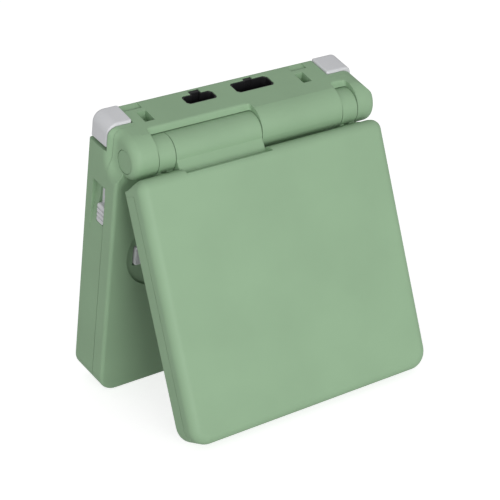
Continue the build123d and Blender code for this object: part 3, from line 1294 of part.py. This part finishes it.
def lid_pieces():
    outline = lid_outline()
    return {
        "lid_outer_shell": lid_outer_shell(outline),
        "lid_bezel": lid_bezel(outline),
        "screen_lens": screen_lens(),
        "lcd_panel": lcd_panel(),
        "light_guide": light_guide(),
        "display_frame": display_frame(),
        "screen_ribbon": screen_ribbon(),
        "lid_screws": lid_screws(),
        "screw_plugs": screw_plugs(),
        "hinge_shaft": hinge_shaft(),
    }


def placed_pieces():
    """Every piece where it stands, centred over the origin."""
    base_place = Pos(0, 0, hinge_height()) * Rot(90 + lean_angle(), 0, 0)
    lid_place = base_place * Rot(-REST_OPENING, 0, 0)
    pieces = {name: base_place * shape for name, shape in base_pieces().items()}
    pieces.update({name: lid_place * shape for name, shape in lid_pieces().items()})
    boxes = [shape.bounding_box() for shape in pieces.values()]
    middle_x = (min(b.min.X for b in boxes) + max(b.max.X for b in boxes)) / 2
    middle_y = (min(b.min.Y for b in boxes) + max(b.max.Y for b in boxes)) / 2
    return {name: Pos(-middle_x, -middle_y, 0) * shape for name, shape in pieces.items()}


def main():
    os.makedirs("parts", exist_ok=True)
    for name, shape in placed_pieces().items():
        export_step(shape, f"parts/{name}.step")


main()
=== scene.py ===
import json
import math

import bpy
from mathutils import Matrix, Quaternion, Vector


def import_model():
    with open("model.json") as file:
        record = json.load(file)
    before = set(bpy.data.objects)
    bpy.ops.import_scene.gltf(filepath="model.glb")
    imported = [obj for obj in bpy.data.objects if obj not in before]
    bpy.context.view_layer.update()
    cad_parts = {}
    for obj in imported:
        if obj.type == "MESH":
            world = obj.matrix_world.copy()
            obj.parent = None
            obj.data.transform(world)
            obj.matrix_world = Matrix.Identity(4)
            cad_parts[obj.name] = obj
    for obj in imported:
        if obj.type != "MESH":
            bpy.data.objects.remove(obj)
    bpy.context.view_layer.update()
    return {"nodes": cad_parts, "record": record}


# A folding handheld LCD game standing like a tent on a pale floor.  Metres, in the
# same frame as the solids: +Z up, X along the hinge, -Y towards the lid's side.
MM = 0.001

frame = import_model()
nodes = frame["nodes"]


# ------------------------------------------------------------------ node helpers
class Graph:
    """A material's node tree with short ways to add and join nodes."""

    def __init__(self, name):
        self.material = bpy.data.materials.new(name)
        self.material.use_nodes = True
        self.tree = self.material.node_tree
        self.shader = self.tree.nodes["Principled BSDF"]
        self.output = self.tree.nodes["Material Output"]
        self.coords = self.tree.nodes.new("ShaderNodeTexCoord").outputs["Object"]

    def add(self, kind, inputs=None, **settings):
        node = self.tree.nodes.new("ShaderNode" + kind)
        for key, value in settings.items():
            setattr(node, key, value)
        for key, value in (inputs or {}).items():
            self.put(value, node.inputs[key])
        return node

    def put(self, value, socket):
        if isinstance(value, bpy.types.NodeSocket):
            self.tree.links.new(value, socket)
        else:
            socket.default_value = value

    def noise(self, scale, detail=2.0, roughness=0.5):
        return self.add("TexNoise", {"Vector": self.coords, "Scale": scale,
                                     "Detail": detail, "Roughness": roughness}).outputs["Fac"]

    def ramp(self, fac, low, high, start=0.35, end=0.65):
        node = self.add("ValToRGB", {"Fac": fac})
        first, last = node.color_ramp.elements
        first.position, last.position = start, end
        first.color, last.color = low, high
        return node.outputs["Color"]

    def spread(self, fac, low, high):
        return self.add("MapRange", {"Value": fac, "To Min": low, "To Max": high}).outputs["Result"]


def linear(red, green, blue):
    """A colour written in 0-255 display values, as the linear colour that shaders use."""
    def one(value):
        value /= 255
        return value / 12.92 if value <= 0.04045 else ((value + 0.055) / 1.055) ** 2.4
    return (one(red), one(green), one(blue), 1.0)


def shade(colour, factor):
    return tuple(c * factor for c in colour[:3]) + (1.0,)


# ------------------------------------------------------------------ materials
def moulded(name, colour, roughness, grain=0.12, grain_scale=2600.0, edge=0.25 * MM,
            specular=0.5, mottle=0.03):
    """Moulded plastic: spark-eroded grain, faint flow mottling and softened edges."""
    g = Graph(name)
    flow = g.noise(45.0, 3.0)
    g.put(g.ramp(flow, shade(colour, 1 - mottle), shade(colour, 1 + mottle)),
          g.shader.inputs["Base Color"])
    g.put(g.spread(g.noise(grain_scale / 4, 2.0), roughness - 0.05, roughness + 0.05),
          g.shader.inputs["Roughness"])
    g.put(specular, g.shader.inputs["Specular IOR Level"])
    soft = g.add("Bevel", {"Radius": edge}, samples=8)
    bump = g.add("Bump", {"Strength": grain, "Distance": 0.05 * MM,
                          "Height": g.noise(grain_scale, 3.0, 0.6),
                          "Normal": soft.outputs["Normal"]})
    g.put(bump.outputs["Normal"], g.shader.inputs["Normal"])
    return g.material


def metal(name, colour, roughness):
    """Plain or plated metal with fine drawn lines."""
    g = Graph(name)
    stretched = g.add("Mapping", {"Vector": g.coords, "Scale": (1.0, 14.0, 14.0)})
    lines = g.add("TexNoise", {"Vector": stretched.outputs["Vector"], "Scale": 900.0,
                               "Detail": 2.0}).outputs["Fac"]
    g.put(g.ramp(lines, shade(colour, 0.9), colour), g.shader.inputs["Base Color"])
    g.put(g.spread(lines, roughness - 0.06, roughness + 0.08), g.shader.inputs["Roughness"])
    g.put(1.0, g.shader.inputs["Metallic"])
    return g.material


def clear_plastic(name, tint, roughness):
    """Transparent moulded window."""
    g = Graph(name)
    g.put(tint, g.shader.inputs["Base Color"])
    g.put(1.0, g.shader.inputs["Transmission Weight"])
    g.put(1.49, g.shader.inputs["IOR"])
    g.put(g.spread(g.noise(400.0), roughness, roughness + 0.03), g.shader.inputs["Roughness"])
    return g.material


def display(name, colour, line_scale):
    """Unlit LCD: dark glass with the faint grid of its dots."""
    g = Graph(name)
    cells = g.add("TexChecker", {"Vector": g.coords, "Scale": line_scale,
                                 "Color1": shade(colour, 0.92), "Color2": shade(colour, 1.08)})
    g.put(cells.outputs["Color"], g.shader.inputs["Base Color"])
    g.put(g.spread(g.noise(300.0), 0.12, 0.2), g.shader.inputs["Roughness"])
    return g.material


SHELL = linear(148, 179, 145)
materials = {
    "shell_green": moulded("shell_green", SHELL, 0.55, specular=0.35),
    "button_grey": moulded("button_grey", linear(219, 220, 223), 0.42, grain=0.08),
    "black_plastic": moulded("black_plastic", linear(26, 26, 28), 0.45),
    "contact_metal": metal("contact_metal", linear(220, 186, 118), 0.28),
    "steel": metal("steel", linear(176, 178, 182), 0.32),
    "battery_wrap": moulded("battery_wrap", linear(72, 76, 84), 0.4),
    "circuit_board": moulded("circuit_board", linear(30, 84, 60), 0.35),
    "key_rubber": moulded("key_rubber", linear(120, 122, 124), 0.75),
    "plug_rubber": moulded("plug_rubber", shade(SHELL, 0.8), 0.75),
    "indicator_plastic": moulded("indicator_plastic", linear(205, 215, 200), 0.3, grain=0.0),
    "clear_lens": clear_plastic("clear_lens", linear(225, 232, 230), 0.02),
    "display_glass": display("display_glass", linear(62, 70, 68), 4000.0),
    "light_guide_plastic": moulded("light_guide_plastic", linear(230, 232, 230), 0.35, grain=0.0),
    "ribbon_film": moulded("ribbon_film", linear(176, 112, 48), 0.35),
}


def dress_solids():
    """Every carried-over solid takes the finish of its material slot."""
    for part in frame["record"]["subparts"]:
        mesh = nodes[part["node"]].data
        mesh.materials.clear()
        mesh.materials.append(materials[part["material_slot"]])


# ------------------------------------------------------------------ stage
FLOOR_SIZE = 8.0
FLOOR_COLOUR = linear(196, 196, 196)
FLOOR_LIFT = 0.76          # how white the camera sees the floor
FLOOR_GLOW = 0.15          # light that the floor gives the object from below
AMBIENT = 0.46
BACKDROP = 1.0             # how white the camera sees the background
SOFTBOX_SIZE = 0.9
KEY_PLACE = (-0.22, -1.45, 0.20)       # in front, low, facing the lid
KEY_WATTS = 14.7
FILL_PLACE = (-1.35, -0.55, 0.35)      # at the left, facing the open sides
FILL_WATTS = 3.0
LIGHT_TARGET = (0.0, 0.0, 0.045)


def floor():
    corners = [(x * FLOOR_SIZE, y * FLOOR_SIZE, 0.0) for x, y in ((-1, -1), (1, -1), (1, 1), (-1, 1))]
    mesh = bpy.data.meshes.new("floor")
    mesh.from_pydata(corners, [], [(0, 1, 2, 3)])
    plane = bpy.data.objects.new("floor", mesh)
    bpy.context.scene.collection.objects.link(plane)
    g = Graph("floor")
    g.put(FLOOR_COLOUR, g.shader.inputs["Base Color"])
    g.put(0.9, g.shader.inputs["Roughness"])
    path = g.add("LightPath")
    seen = g.add("Math", {0: path.outputs["Is Camera Ray"],
                          1: path.outputs["Is Transmission Ray"]}, operation="MAXIMUM")
    lift = g.add("MapRange", {"Value": seen.outputs[0], "To Min": FLOOR_GLOW,
                              "To Max": FLOOR_LIFT})
    g.put((1.0, 1.0, 1.0, 1.0), g.shader.inputs["Emission Color"])
    g.put(lift.outputs["Result"], g.shader.inputs["Emission Strength"])
    mesh.materials.append(g.material)


def world():
    backdrop = bpy.data.worlds.new("studio")
    bpy.context.scene.world = backdrop
    backdrop.use_nodes = True
    tree = backdrop.node_tree
    light = tree.nodes["Background"]
    light.inputs["Color"].default_value = (1.0, 1.0, 1.0, 1.0)
    path = tree.nodes.new("ShaderNodeLightPath")
    seen = tree.nodes.new("ShaderNodeMath")
    seen.operation = "MAXIMUM"
    level = tree.nodes.new("ShaderNodeMapRange")
    level.inputs["To Min"].default_value = AMBIENT
    level.inputs["To Max"].default_value = BACKDROP
    tree.links.new(path.outputs["Is Camera Ray"], seen.inputs[0])
    tree.links.new(path.outputs["Is Transmission Ray"], seen.inputs[1])
    tree.links.new(seen.outputs[0], level.inputs["Value"])
    tree.links.new(level.outputs["Result"], light.inputs["Strength"])


def softbox(name, place, watts):
    lamp = bpy.data.lights.new(name, "AREA")
    lamp.shape = "SQUARE"
    lamp.size = SOFTBOX_SIZE
    lamp.energy = watts
    box = bpy.data.objects.new(name, lamp)
    bpy.context.scene.collection.objects.link(box)
    box.location = place
    box.rotation_euler = (Vector(LIGHT_TARGET) - Vector(place)).to_track_quat("-Z", "Y").to_euler()


def lights():
    softbox("key", KEY_PLACE, KEY_WATTS)
    softbox("fill", FILL_PLACE, FILL_WATTS)


LENS_MM = 127.71
VIEW_TURN = 35.16          # degrees from +Y towards +X
VIEW_DROP = 22.32
VIEW_ROLL = -1.90
VIEW_TARGET = (-0.00694, -0.01014, 0.04388)
VIEW_DISTANCE = 0.49038


def camera():
    turn, drop = math.radians(VIEW_TURN), math.radians(VIEW_DROP)
    forward = Vector((math.sin(turn) * math.cos(drop), math.cos(turn) * math.cos(drop),
                      -math.sin(drop)))
    data = bpy.data.cameras.new("camera")
    data.lens = LENS_MM
    data.clip_start = 0.01
    view = bpy.data.objects.new("camera", data)
    bpy.context.scene.collection.objects.link(view)
    view.location = Vector(VIEW_TARGET) - forward * VIEW_DISTANCE
    roll = Quaternion((0, 0, 1), math.radians(VIEW_ROLL))
    view.rotation_euler = (forward.to_track_quat("-Z", "Y") @ roll).to_euler()
    bpy.context.scene.camera = view


dress_solids()
floor()
world()
lights()
camera()
bpy.context.scene.view_settings.view_transform = "Standard"
